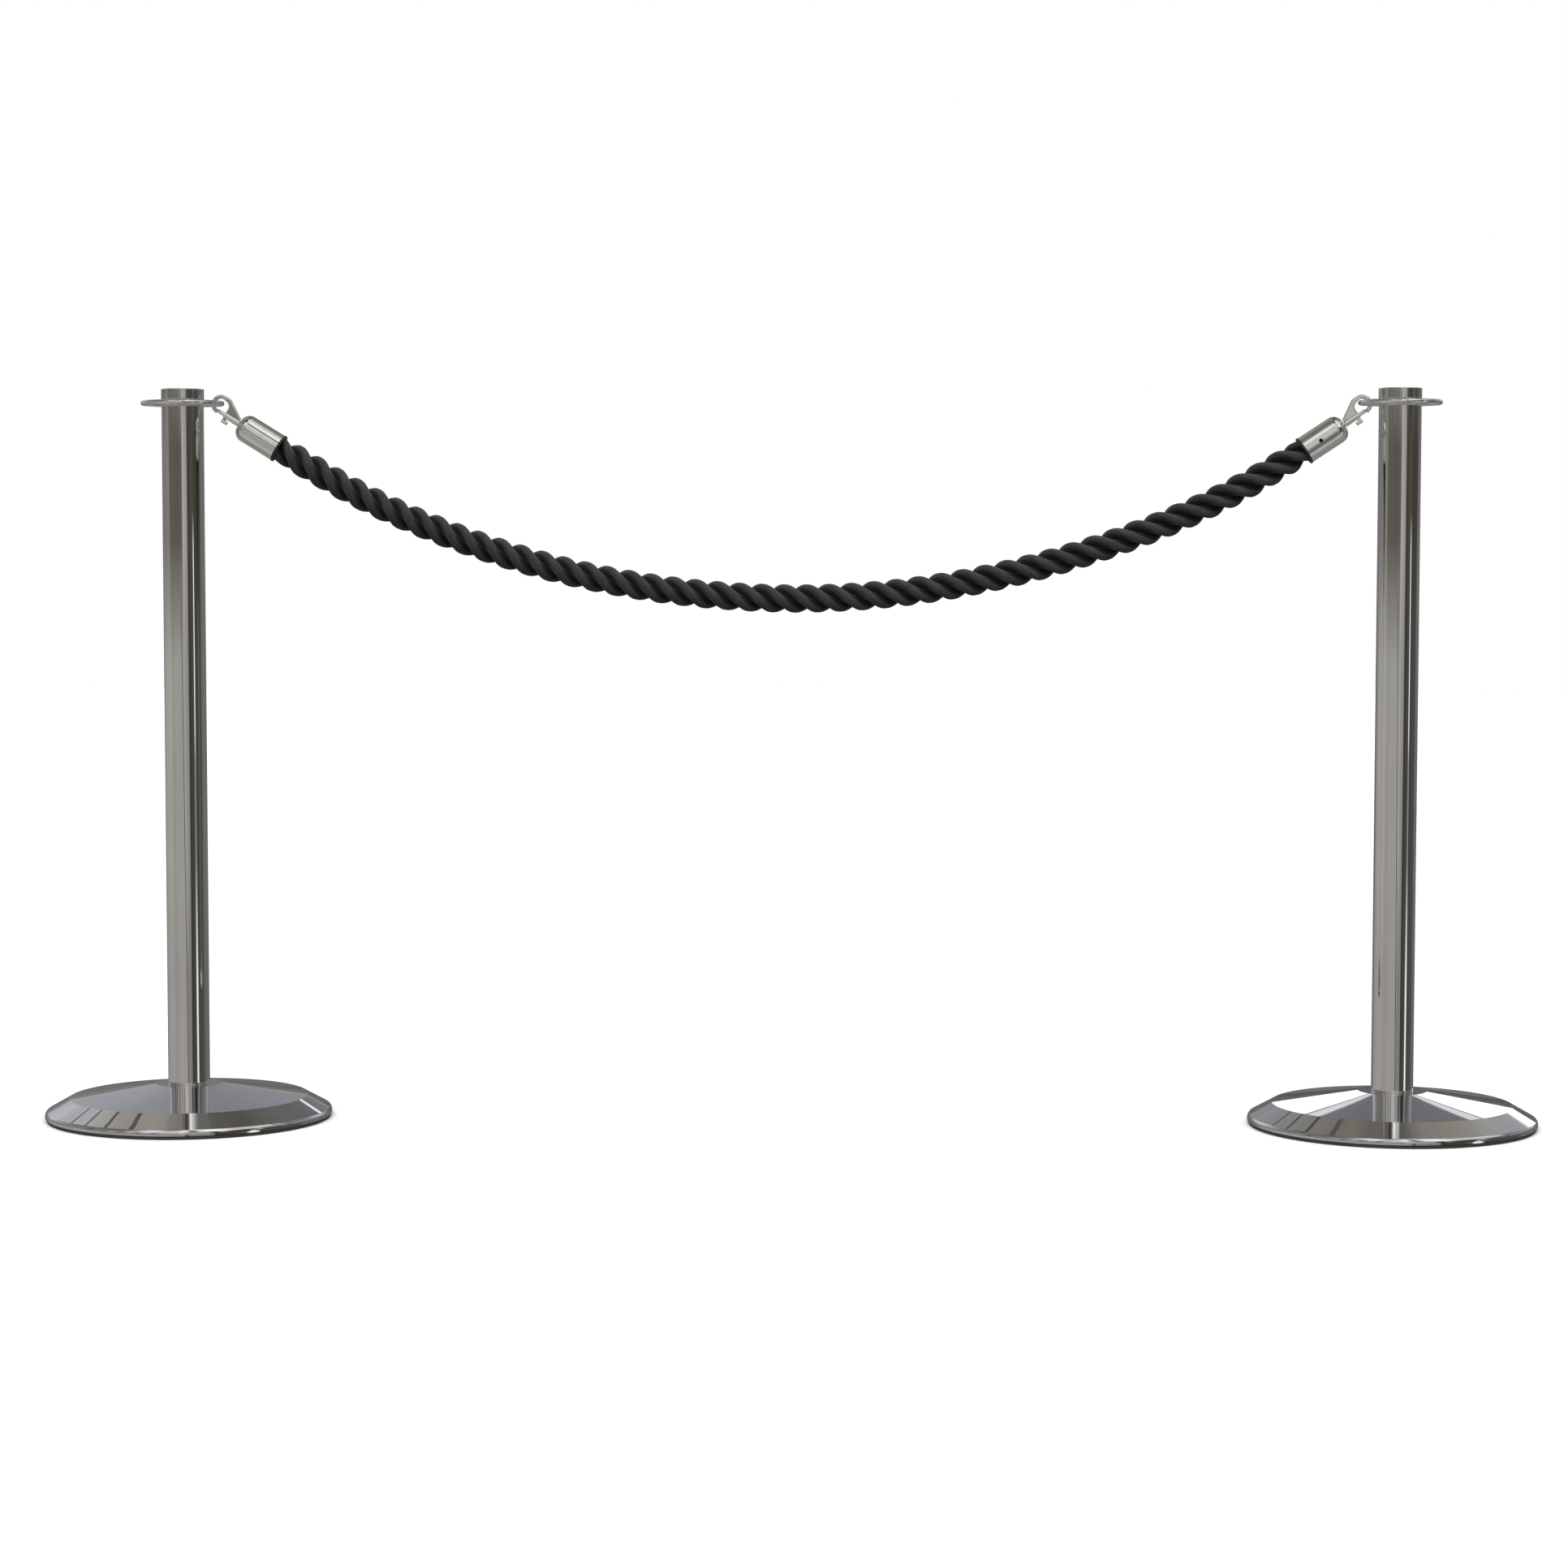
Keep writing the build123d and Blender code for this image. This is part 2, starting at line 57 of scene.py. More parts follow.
# Rope: the route's points as x and z, seat to seat
ROPE_ROUTE = [
    (-0.6572, 0.8454), (-0.5986, 0.8091), (-0.514, 0.761), (-0.420, 0.720), (-0.317, 0.685),
    (-0.215, 0.661), (-0.110, 0.646), (-0.006, 0.640), (0.095, 0.643), (0.199, 0.656),
    (0.300, 0.678), (0.403, 0.710), (0.508, 0.753), (0.6025, 0.8054), (0.660, 0.8435),
]
ROPE_LAY = 0.0818                  # one strand's full turn
ROPE_PHASE = radians(29)
STRANDS = 3
STRAND_OFFSET = 0.00995            # rope's middle to a strand's middle
STRAND_DEPTH = 0.0073              # half size along the radius
STRAND_HALF_WIDTH = 0.0072
STRAND_SPREAD = 0.0016             # extra half width on the inner side
STRAND_INNER_DEPTH = 0.0095
RIDGE_HEIGHT, RIDGE_ANGLE, RIDGE_SPREAD = 0.0007, radians(40), radians(20)
STRAND_SIDES = 40
STRAND_STEP = 0.002
MOUTH_FROM_SEAT = 0.0445           # rope inside each cup and collar
MOUTH_SQUEEZE = 0.865
SQUEEZE_FADE = 0.024


# ---------------------------------------------------------------- camera, light and floor

def make_camera():
    forward = Vector((sin(CAMERA_YAW) * cos(CAMERA_PITCH),
                      cos(CAMERA_YAW) * cos(CAMERA_PITCH), -sin(CAMERA_PITCH)))
    level = Vector((cos(CAMERA_YAW), -sin(CAMERA_YAW), 0))
    upright = level.cross(forward)
    right = level * cos(CAMERA_ROLL) + upright * sin(CAMERA_ROLL)
    up = upright * cos(CAMERA_ROLL) - level * sin(CAMERA_ROLL)
    data = bpy.data.cameras.new("camera")
    data.lens, data.sensor_width = CAMERA_LENS, CAMERA_SENSOR
    data.clip_start, data.clip_end = 0.1, 100
    camera = bpy.data.objects.new("camera", data)
    turn = Matrix((right, up, -forward)).transposed()
    camera.matrix_world = Matrix.Translation(CAMERA_PLACE) @ turn.to_4x4()
    bpy.context.scene.collection.objects.link(camera)
    bpy.context.scene.camera = camera


def grey(value, warmth=0.0):
    """Linear colour of a screen grey from 0 to 255: warm above zero, lilac below it."""
    level = ((value / 255 + 0.055) / 1.055) ** 2.4
    return (level * (1 + max(0.0, warmth)), level, level * (1 - 1.6 * warmth), 1)


class Graph:
    """Short names for building one node tree."""

    def __init__(self, tree):
        self.tree = tree
        tree.nodes.clear()

    def node(self, kind, inputs=(), **settings):
        made = self.tree.nodes.new(kind)
        for name, value in settings.items():
            setattr(made, name, value)
        for key, value in dict(inputs).items():
            self.feed(made.inputs[key], value)
        return made

    def feed(self, socket, value):
        if isinstance(value, bpy.types.NodeSocket):
            self.tree.links.new(value, socket)
        else:
            socket.default_value = value

    def math(self, operation, *values):
        return self.node("ShaderNodeMath", dict(enumerate(values)), operation=operation).outputs[0]

    def vector(self, operation, a, b):
        return self.node("ShaderNodeVectorMath", {0: a, 1: b}, operation=operation).outputs[0]

    def ramp(self, factor, stops):
        made = self.node("ShaderNodeValToRGB", {"Fac": factor})
        elements = made.color_ramp.elements
        while len(elements) < len(stops):
            elements.new(0.5)
        for element, (place, _) in zip(elements, stops):
            element.position = place
        for element, (_, colour) in zip(elements, stops):
            element.color = colour
        return made.outputs["Color"]

    def spread(self, value, low, high, to_low=0.0, to_high=1.0):
        return self.node("ShaderNodeMapRange", {"Value": value, "From Min": low, "From Max": high,
                                                "To Min": to_low, "To Max": to_high}).outputs[0]

    def mix(self, factor, a, b):
        made = self.node("ShaderNodeMix", data_type="RGBA")
        self.feed(made.inputs[0], factor)
        self.feed(made.inputs[6], a)
        self.feed(made.inputs[7], b)
        return made.outputs[2]

    def noise(self, place, scale, detail=4.0, roughness=0.5):
        return self.node("ShaderNodeTexNoise", {"Vector": place, "Scale": scale, "Detail": detail,
                                                "Roughness": roughness}).outputs["Fac"]

    def stretched(self, place, scale):
        return self.node("ShaderNodeMapping", {"Vector": place, "Scale": scale}).outputs[0]

    def place(self, output="Object"):
        return self.node("ShaderNodeTexCoord").outputs[output]


WORLD_STRENGTH = 1.25
FLOOR_REACH = 14.0                 # from the middle to each side
LAMPS = [               # name, direction, strength, spread
    ("key", (0.35, 0.55, -1.0), 2.3, radians(60)),
    ("fill", (-0.6, 0.3, -1.0), 1.3, radians(90)),
]
SOFTBOX_Y = 1.55
SOFTBOXES = [           # name, left, right, low, high, strength, the cover it lights
    ("softbox", 0.50, 1.85, 0.300, 0.640, 1.35, "right_base_cover"),
    ("softbox_edge", 0.50, 1.85, 0.655, 0.715, 0.60, "right_base_cover"),
    ("softbox_strip", -0.46, -0.24, 0.655, 0.735, 0.85, "left_base_cover"),
]


def around(degrees):
    """Ramp place, 0 to 1, of a direction in degrees from the front, -180 to 180."""
    return (degrees + 180) / 360


def turn_stops(bands):
    """Ramp stops from (degrees from the front, grey, warmth) rows."""
    return [(around(degrees), grey(value, warmth)) for degrees, value, warmth in bands]


WALL_BANDS = [          # above the horizon
    (-180, 104, 0.0), (-140, 112, 0.0), (-100, 119, 0.03), (-76, 124, 0.05), (-69, 88, 0.08),
    (-20, 84, 0.09), (2, 90, 0.08), (5, 168, 0.02), (20, 152, 0.0), (30, 139, 0.0),
    (32, 52, 0.11), (50, 68, 0.12), (60, 74, 0.10), (66, 60, 0.10), (88, 58, 0.09),
    (108, 62, 0.05), (117, 104, 0.0), (150, 105, 0.0), (180, 104, 0.0),
]
APRON_BANDS = [         # just below the horizon
    (-180, 92, 0.0), (-150, 104, 0.0), (-130, 146, 0.01), (-95, 155, 0.01), (-75, 156, 0.03),
    (-57, 144, 0.04), (-42, 150, 0.02), (-20, 150, 0.02), (10, 152, 0.02), (30, 130, 0.0),
    (32, 52, 0.09), (54, 68, 0.08), (60, 82, 0.02), (62, 148, -0.03), (66, 130, -0.03),
    (69, 62, 0.06), (108, 74, 0.04), (117, 104, 0.0), (140, 104, 0.0),
]
GROUND_BANDS = [        # near the posts' feet
    (-180, 92, 0.0), (-150, 104, 0.0), (-130, 142, 0.01), (-95, 151, 0.01), (-75, 150, 0.03),
    (-57, 142, 0.04), (-42, 146, 0.03), (-20, 151, 0.02), (4, 146, 0.02), (12, 124, 0.02),
    (30, 122, 0.01), (32, 54, 0.09), (53, 68, 0.08), (58, 90, 0.02), (61, 245, -0.02),
    (67, 235, -0.03), (70, 66, 0.04), (108, 76, 0.03), (117, 102, 0.0), (140, 102, 0.0),
]
DEEP_BANDS = [          # the floor below
    (-180, 138, 0.0), (-120, 132, 0.02), (-102, 112, 0.02), (-88, 150, 0.03), (-60, 164, 0.03),
    (-32, 146, 0.03), (-6, 138, 0.03), (10, 138, 0.01), (14, 122, 0.01), (18, 98, 0.02),
    (21, 80, 0.02), (26, 97, 0.02), (31, 110, 0.0), (36, 130, 0.0), (42, 166, 0.0),
    (53, 168, 0.0), (65, 142, 0.0), (82, 116, 0.0), (104, 114, 0.0), (130, 126, 0.0),
    (160, 134, 0.0),
]
SKY_BANDS = [           # front sky, low
    (-180, 108, 0.0), (-110, 112, 0.02), (-84, 124, 0.03), (-77, 92, 0.04), (-70, 124, 0.03),
    (-62, 118, 0.03), (-53, 158, 0.03), (-46, 104, 0.04), (-38, 172, 0.03), (-31, 112, 0.03),
    (-24, 178, 0.03), (-17, 116, 0.03), (-12, 176, 0.03), (-4, 184, 0.01), (0, 178, 0.01),
    (4, 192, 0.01), (8, 152, 0.01), (22, 152, 0.01), (27, 142, 0.0), (29, 54, 0.04),
    (34, 60, 0.04), (38, 132, 0.0), (44, 60, 0.0), (58, 40, -0.04), (66, 92, -0.03),
    (70, 170, -0.02), (75, 88, 0.0), (94, 100, 0.02), (117, 92, 0.0), (150, 108, 0.0),
]
HIGH_BANDS = [          # front sky, high
    (-180, 118, 0.03), (-147, 128, 0.04), (-115, 98, 0.06), (-91, 110, 0.06), (-68, 98, 0.06),
    (-53, 114, 0.04), (-45, 142, 0.03), (-38, 180, 0.01), (-30, 224, 0.0), (-21, 226, 0.0),
    (-16, 196, 0.01), (-11, 182, 0.01), (-2, 196, 0.01), (4, 226, 0.0), (8, 224, 0.0),
    (11, 166, 0.02), (13, 110, 0.04), (17, 108, 0.04), (20, 180, 0.01), (23, 206, 0.0),
    (31, 240, 0.0), (44, 242, 0.0), (54, 206, 0.01), (60, 184, 0.02), (85, 204, 0.01),
    (114, 168, 0.03), (125, 114, 0.05), (160, 104, 0.06),
]
CROWN_BANDS = [         # nearly overhead
    (-180, 110, 0.03), (-115, 98, 0.05), (-91, 110, 0.06), (-68, 100, 0.06), (-56, 108, 0.05),
    (-50, 68, 0.08), (-24, 64, 0.08), (-18, 86, 0.05), (-1, 102, 0.04), (2, 160, 0.01),
    (10, 188, 0.0), (20, 248, 0.0), (40, 244, 0.0), (52, 202, 0.01), (60, 184, 0.02),
    (72, 194, 0.01), (85, 204, 0.01), (114, 168, 0.03), (130, 112, 0.05), (160, 105, 0.05),
]
BACKDROP = [            # behind the set, by the height of the direction
    (0.0, 86, 0.0), (0.10, 98, -0.02), (0.168, 112, -0.04), (0.19, 134, -0.07),
    (0.36, 130, -0.07), (0.46, 118, -0.04), (0.66, 112, 0.0), (0.76, 100, 0.06), (0.86, 94, 0.09),
    (0.93, 102, 0.06), (0.97, 84, 0.03), (1.0, 78, 0.0),
]
BACKDROP_SIDES = [      # how much brighter the backdrop is, by degrees from the front
    (-180, 1.0), (-172, 1.0), (-164, 1.35), (-157, 1.45), (-149, 2.1), (-139, 2.5), (-125, 1.5),
    (-110, 1.0), (118, 1.0), (131, 1.2), (143, 2.0), (154, 1.5), (164, 0.74), (176, 0.74),
    (180, 1.0),
]
BRIGHTEST_SIDE = 2.5
BEHIND_FADE = (0.15, 0.25)         # the backdrop takes over from the rings: by way's y
BEHIND_RISE = (0.030, 0.046)       # and by height
HORIZON_GLOW = (0.170, 0.184)      # thin warm line in the backdrop, by height
GLOW_EDGE = 0.002
GLOW_COLOUR = (146, 0.16)
BEAMS = (0.55, 0.655, 0.76, 0.85)  # thin dark lines on the backdrop's left, by height
BEAM_HALF = 0.007
BEAM_SHARE = 0.75
BEAM_FADE = (-0.12, -0.2)          # by way's x
BEAM_COLOUR = (44, 0.0)
# Upright strip lamp: degrees from the front, then the heights of its ends' fades
BRIGHT_LINE, BRIGHT_LINE_HALF = 63.5, 2.0
BRIGHT_LINE_FOOT, BRIGHT_LINE_HEAD = (-0.058, -0.048), (0.012, 0.002)
BRIGHT_LINE_COLOUR = (245, -0.02)
# Leaning dark pole: degrees where it meets z = 0, and degrees further round for each unit lower
DARK_LINE, DARK_LINE_HALF, DARK_LINE_LEAN = -7.9, 1.5, 109
DARK_LINE_FOOT, DARK_LINE_HEAD = (-0.17, -0.16), (-0.008, -0.016)
DARK_LINE_COLOUR = (58, 0.04)
SEAM_SCALE, SEAM_DETAIL, SEAM_ROUGHNESS = 46.0, 5.0, 0.75
SEAM_SHADES = [         # upright seams in the surroundings
    (0.30, (0.62, 0.62, 0.60, 1)), (0.40, (0.93, 0.93, 0.93, 1)), (0.62, (1, 1, 1, 1)),
    (0.72, (1.12, 1.12, 1.12, 1)),
]
DOME = [(0.0, 165), (0.45, 150), (0.62, 190), (1.0, 250)]  # light on matt surfaces, low to high
LEVELS = [              # where each ring of bands gives way to the next above it
    (-0.34, -0.22), (-0.12, -0.085), (-0.030, 0.004), (0.030, 0.085), (0.44, 0.50),
    (0.855, 0.885),
]


def make_world():
    """What each ray meets: banded surroundings for the metal, a soft dome, white for the camera."""
    world = bpy.data.worlds.new("studio")
    bpy.context.scene.world = world
    world.use_nodes = True
    g = Graph(world.node_tree)
    way = g.node("ShaderNodeSeparateXYZ", {0: g.place("Generated")}).outputs
    turn = g.math("ARCTAN2", way[0], g.math("MULTIPLY", way[1], -1.0))
    turn = g.spread(turn, -pi, pi)
    seen = front_rings(g, way, turn)
    seen = with_lines(g, way, turn, seen)
    behind = g.math("MULTIPLY", g.spread(way[1], *BEHIND_FADE), g.spread(way[2], *BEHIND_RISE))
    seen = g.mix(behind, seen, backdrop_colour(g, way, turn))
    around_only = g.node("ShaderNodeCombineXYZ", {"X": turn}).outputs[0]
    seams = g.noise(around_only, SEAM_SCALE, SEAM_DETAIL, SEAM_ROUGHNESS)
    seen = g.vector("MULTIPLY", seen, g.ramp(seams, SEAM_SHADES))
    light = g.node("ShaderNodeLightPath").outputs
    dome = g.ramp(g.spread(way[2], -1.0, 1.0), [(place, grey(value)) for place, value in DOME])
    seen = g.mix(light["Is Glossy Ray"], dome, seen)
    lamp = g.node("ShaderNodeBackground", {"Color": seen, "Strength": WORLD_STRENGTH})
    plain = g.node("ShaderNodeBackground", {"Color": (1, 1, 1, 1), "Strength": 1.0})
    both = g.node("ShaderNodeMixShader", {0: light["Is Camera Ray"], 1: lamp.outputs[0],
                                          2: plain.outputs[0]})
    g.node("ShaderNodeOutputWorld", {"Surface": both.outputs[0]})


def front_rings(g, way, turn):
    """The bands around the set, stacked in rings from the floor to overhead."""
    rings = [DEEP_BANDS, GROUND_BANDS, APRON_BANDS, WALL_BANDS, SKY_BANDS, HIGH_BANDS,
             CROWN_BANDS]
    seen = g.ramp(turn, turn_stops(rings[0]))
    for bands, (low, high) in zip(rings[1:], LEVELS):
        seen = g.mix(g.spread(way[2], low, high), seen, g.ramp(turn, turn_stops(bands)))
    return seen


def with_lines(g, way, turn, seen):
    """The rings with the strip lamp and the dark pole drawn over them."""
    lamp = g.math("COMPARE", turn, around(BRIGHT_LINE), BRIGHT_LINE_HALF / 360)
    lamp_ends = g.math("MULTIPLY", g.spread(way[2], *BRIGHT_LINE_FOOT),
                       g.spread(way[2], *BRIGHT_LINE_HEAD))
    seen = g.mix(g.math("MULTIPLY", lamp, lamp_ends), seen, grey(*BRIGHT_LINE_COLOUR))
    leaning = g.math("MULTIPLY_ADD", way[2], DARK_LINE_LEAN / 360, turn)
    pole = g.math("COMPARE", leaning, around(DARK_LINE), DARK_LINE_HALF / 360)
    pole_ends = g.math("MULTIPLY", g.spread(way[2], *DARK_LINE_FOOT),
                       g.spread(way[2], *DARK_LINE_HEAD))
    return g.mix(g.math("MULTIPLY", pole, pole_ends), seen, grey(*DARK_LINE_COLOUR))


def backdrop_colour(g, way, turn):
    """Behind the set: a tall gradient, brighter at its sides, with a glow line and beams."""
    backdrop = g.ramp(way[2], [(place, grey(value, warmth)) for place, value, warmth in BACKDROP])
    low, high = HORIZON_GLOW
    glow = g.math("MULTIPLY", g.spread(way[2], low, low + GLOW_EDGE),
                  g.spread(way[2], high, high - GLOW_EDGE))
    backdrop = g.mix(glow, backdrop, grey(*GLOW_COLOUR))
    sides = g.ramp(turn, [(around(degrees), (*3 * [gain / BRIGHTEST_SIDE], 1))
                          for degrees, gain in BACKDROP_SIDES])
    backdrop = g.vector("MULTIPLY", backdrop, sides)
    backdrop = g.node("ShaderNodeVectorMath", {0: backdrop, "Scale": BRIGHTEST_SIDE},
                      operation="SCALE").outputs[0]
    beams = 0.0
    for height in BEAMS:
        beams = g.math("MAXIMUM", g.math("COMPARE", way[2], height, BEAM_HALF), beams)
    beams = g.math("MULTIPLY", g.math("MULTIPLY", beams, BEAM_SHARE),
                   g.spread(way[0], *BEAM_FADE))
    return g.mix(beams, backdrop, grey(*BEAM_COLOUR))


def make_softbox(name, left, right, low, high, strength, cover):
    """An upright lit panel behind the set, linked so that it lights one base's cover only."""
    data = bpy.data.lights.new(name, "AREA")
    data.shape = "RECTANGLE"
    data.size, data.size_y = right - left, high - low
    data.energy = strength * pi * data.size * data.size_y
    panel = bpy.data.objects.new(name, data)
    panel.location = ((left + right) / 2, SOFTBOX_Y, (low + high) / 2)
    panel.rotation_euler = (-pi / 2, 0, 0)
    panel.visible_camera = False
    panel.visible_diffuse = False
    bpy.context.scene.collection.objects.link(panel)
    lit = bpy.data.collections.new(f"{name}_lights")
    lit.objects.link(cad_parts[cover])
    panel.light_linking.receiver_collection = lit


def make_lamp(name, direction, strength, spread):
    """A broad soft lamp without a place. The metal doesn't mirror it."""
    data = bpy.data.lights.new(name, "SUN")
    data.energy, data.angle = strength, spread
    lamp = bpy.data.objects.new(name, data)
    lamp.rotation_euler = Vector(direction).to_track_quat("-Z", "Y").to_euler()
    lamp.visible_glossy = False
    bpy.context.scene.collection.objects.link(lamp)


def make_floor():
    far = FLOOR_REACH
    corners = [(-far, -far, 0), (far, -far, 0), (far, far, 0), (-far, far, 0)]
    mesh = bpy.data.meshes.new("floor")
    mesh.from_pydata(corners, [], [(0, 1, 2, 3)])
    floor = bpy.data.objects.new("floor", mesh)
    bpy.context.scene.collection.objects.link(floor)
    floor.visible_glossy = False
    floor.visible_diffuse = False
    material, g = new_material("floor_white")
    speckle = g.noise(g.place(), 90.0)
    tone = g.ramp(speckle, [(0.3, (0.61, 0.61, 0.61, 1)), (0.7, (0.63, 0.63, 0.63, 1))])
    principled(g, {"Base Color": tone, "Roughness": 0.9, "Specular IOR Level": 0.1})
    mesh.materials.append(material)


# ---------------------------------------------------------------- materials

def new_material(name):
    material = bpy.data.materials.new(name)
    material.use_nodes = True
    return material, Graph(material.node_tree)


def principled(g, inputs, bump=None):
    """The surface shader, with an optional (height, strength, distance) bump."""
    if bump:
        height, strength, distance = bump
        inputs["Normal"] = g.node("ShaderNodeBump", {"Height": height, "Strength": strength,
                                                     "Distance": distance}).outputs[0]
    shader = g.node("ShaderNodeBsdfPrincipled", inputs)
    g.node("ShaderNodeOutputMaterial", {"Surface": shader.outputs[0]})
    return shader


def polished_steel():
    """Mirror polish with the slight lengthwise waver of a drawn tube."""
    material, g = new_material("polished_steel")
    smear = g.noise(g.stretched(g.place(), (30, 30, 6)), 1.0, 3.0)
    tone = g.ramp(smear, [(0.3, (0.80, 0.79, 0.765, 1)), (0.7, (0.86, 0.85, 0.83, 1))])
    rough = g.spread(smear, 0.3, 0.7, 0.012, 0.03)
    waver = g.noise(g.stretched(g.place(), (160, 160, 3)), 1.0, 2.0)
    principled(g, {"Base Color": tone, "Metallic": 1.0, "Roughness": rough},
               (waver, 0.03, 0.0003))
    return material


def cover_steel(side):
    """Polished spun sheet: hairline rings about the post and faint streaks that run outwards."""
    material, g = new_material(f"cover_steel_{side}")
    low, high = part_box(f"{side}_base_cover")
    middle = (low + high) / 2
    away = g.vector("SUBTRACT", g.place(), (middle.x, middle.y, 0))
    parts = g.node("ShaderNodeSeparateXYZ", {0: away}).outputs
    radius = g.math("SQRT", g.math("ADD", g.math("MULTIPLY", parts[0], parts[0]),
                                   g.math("MULTIPLY", parts[1], parts[1])))
    ring = g.node("ShaderNodeCombineXYZ", {"X": radius}).outputs[0]
    rings = g.noise(ring, 2600.0, 2.0)
    cloud = g.noise(away, 14.0, 3.0)
    spoke = g.math("ARCTAN2", parts[1], parts[0])
    streaks = g.noise(g.node("ShaderNodeCombineXYZ", {"X": spoke}).outputs[0], 26.0, 5.0, 0.7)
    tone = g.ramp(g.math("ADD", g.math("MULTIPLY", streaks, 0.7), g.math("MULTIPLY", cloud, 0.3)),
                  [(0.34, (0.70, 0.70, 0.71, 1)), (0.66, (0.86, 0.86, 0.86, 1))])
    rough = g.spread(cloud, 0.3, 0.7, 0.018, 0.034)
    principled(g, {"Base Color": tone, "Metallic": 1.0, "Roughness": rough},
               (rings, 0.02, 0.0001))
    return material


def bright_nickel():
    material, g = new_material("bright_nickel")
    smear = g.noise(g.place(), 110.0, 4.0)
    tone = g.ramp(smear, [(0.3, (0.82, 0.815, 0.785, 1)), (0.7, (0.90, 0.895, 0.87, 1))])
    rough = g.spread(smear, 0.3, 0.7, 0.03, 0.06)
    dents = g.noise(g.place(), 420.0, 2.0)
    principled(g, {"Base Color": tone, "Metallic": 1.0, "Roughness": rough}, (dents, 0.03, 0.0002))
    return material


def speckled(name, dark, light, metallic, rough, scale, strength, distance):
    """A plain finish of two close tones with a fine grain in its surface."""
    material, g = new_material(name)
    grain = g.noise(g.place(), scale, 5.0, 0.6)
    tone = g.ramp(grain, [(0.35, (*dark, 1)), (0.65, (*light, 1))])
    roughness = g.spread(grain, 0.3, 0.7, rough - 0.06, rough + 0.06)
    principled(g, {"Base Color": tone, "Metallic": metallic, "Roughness": roughness},
               (grain, strength, distance))
    return material


def rope_yarn():
    """Dark matte yarn: hairlines along each strand, a soft sheen, and painted shade that darkens
    the strands' flanks in the creases between them.
    """
    material, g = new_material("rope_yarn")
    along = g.place("UV")
    hairs = g.noise(g.stretched(along, (260, 3200, 1)), 1.0, 4.0, 0.65)
    fuzz = g.noise(g.place(), 1500.0, 3.0, 0.7)
    blotch = g.noise(g.place(), 60.0, 3.0)
    height = g.math("ADD", g.math("MULTIPLY", hairs, 0.6), g.math("MULTIPLY", fuzz, 0.5))
    lighter = g.math("ADD", g.math("MULTIPLY", height, 0.75), g.math("MULTIPLY", blotch, 0.25))
    tone = g.ramp(lighter, [(0.36, (0.017, 0.017, 0.0165, 1)), (0.50, (0.025, 0.025, 0.0245, 1)),
                            (0.66, (0.042, 0.042, 0.041, 1))])
    # Painted crease shade: the colour falls to a fifth where a strand's surface turns sideways and
    # inwards, towards the other strands.
    crease_facing = g.node("ShaderNodeAttribute", attribute_name="crease_shade_facing").outputs["Fac"]
    shadow = g.ramp(g.spread(crease_facing, -0.10, 0.36), [(0.0, (0.20, 0.20, 0.20, 1)),
                                                   (1.0, (1, 1, 1, 1))])
    tone = g.vector("MULTIPLY", tone, shadow)
    principled(g, {"Base Color": tone, "Roughness": 0.85, "Specular IOR Level": 0.2,
                   "Sheen Weight": 0.12, "Sheen Roughness": 0.45,
                   "Sheen Tint": (0.75, 0.75, 0.78, 1)}, (height, 0.35, 0.0004))
    return material


def dress_nodes():
    """Give every shown CAD node its finish."""
    steel = polished_steel()
    nickel = bright_nickel()
    iron = speckled("cast_iron", (0.05, 0.05, 0.052), (0.09, 0.09, 0.092), 0.7, 0.6,
                    500, 0.5, 0.0006)
    rubber = speckled("rubber", (0.030, 0.030, 0.030), (0.052, 0.052, 0.050), 0, 0.7,
                      900, 0.3, 0.0003)
    plastic = speckled("black_plastic", (0.008, 0.008, 0.009), (0.016, 0.016, 0.017), 0, 0.34,
                       1400, 0.2, 0.0001)
    blued = speckled("black_steel", (0.015, 0.015, 0.017), (0.03, 0.03, 0.033), 0.8, 0.35,
                     1600, 0.2, 0.0001)
    zinc = speckled("zinc", (0.50, 0.51, 0.53), (0.62, 0.62, 0.64), 1, 0.32, 700, 0.25, 0.0002)
    spring = speckled("spring_steel", (0.45, 0.44, 0.42), (0.58, 0.57, 0.55), 1, 0.25,
                      1800, 0.2, 0.0001)
    finishes = {
        "base_weight": iron, "base_rubber_ring": rubber, "base_washer": zinc, "base_bolt": zinc,
        "foot_ring": steel, "foot_plug": zinc, "post_tube": steel, "head_plug": zinc,
        "rope_ring": steel, "cap_stud": zinc, "top_cap": steel, "ferrule": nickel,
        "ferrule_collar": plastic, "ferrule_screw": blued, "swivel_washer": zinc,
        "swivel_stud": nickel, "hook_body": nickel, "hook_bolt": nickel, "bolt_spring": spring,
    }
    for side in SIDES:
        finishes["base_cover"] = cover_steel(side)
        for piece, material in finishes.items():
            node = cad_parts[f"{side}_{piece}"]
            node.data.materials.clear()
            node.data.materials.append(material)


# ---------------------------------------------------------------- rope

def route_points():
    """Close points along the route's NURBS spline."""
    curve = bpy.data.curves.new("route", "CURVE")
    curve.dimensions = "3D"
    curve.resolution_u = 48
    spline = curve.splines.new("NURBS")
    spline.points.add(len(ROPE_ROUTE) - 1)
    for point, (x, z) in zip(spline.points, ROPE_ROUTE):
        point.co = (x, 0, z, 1)
    spline.order_u = 3
    spline.use_endpoint_u = True
    holder = bpy.data.objects.new("route", curve)
    bpy.context.scene.collection.objects.link(holder)
    bpy.context.view_layer.update()
    mesh = bpy.data.meshes.new_from_object(holder)
    points = [vertex.co.copy() for vertex in mesh.vertices]
    bpy.data.objects.remove(holder)
    bpy.data.curves.remove(curve)
    bpy.data.meshes.remove(mesh)
    return points


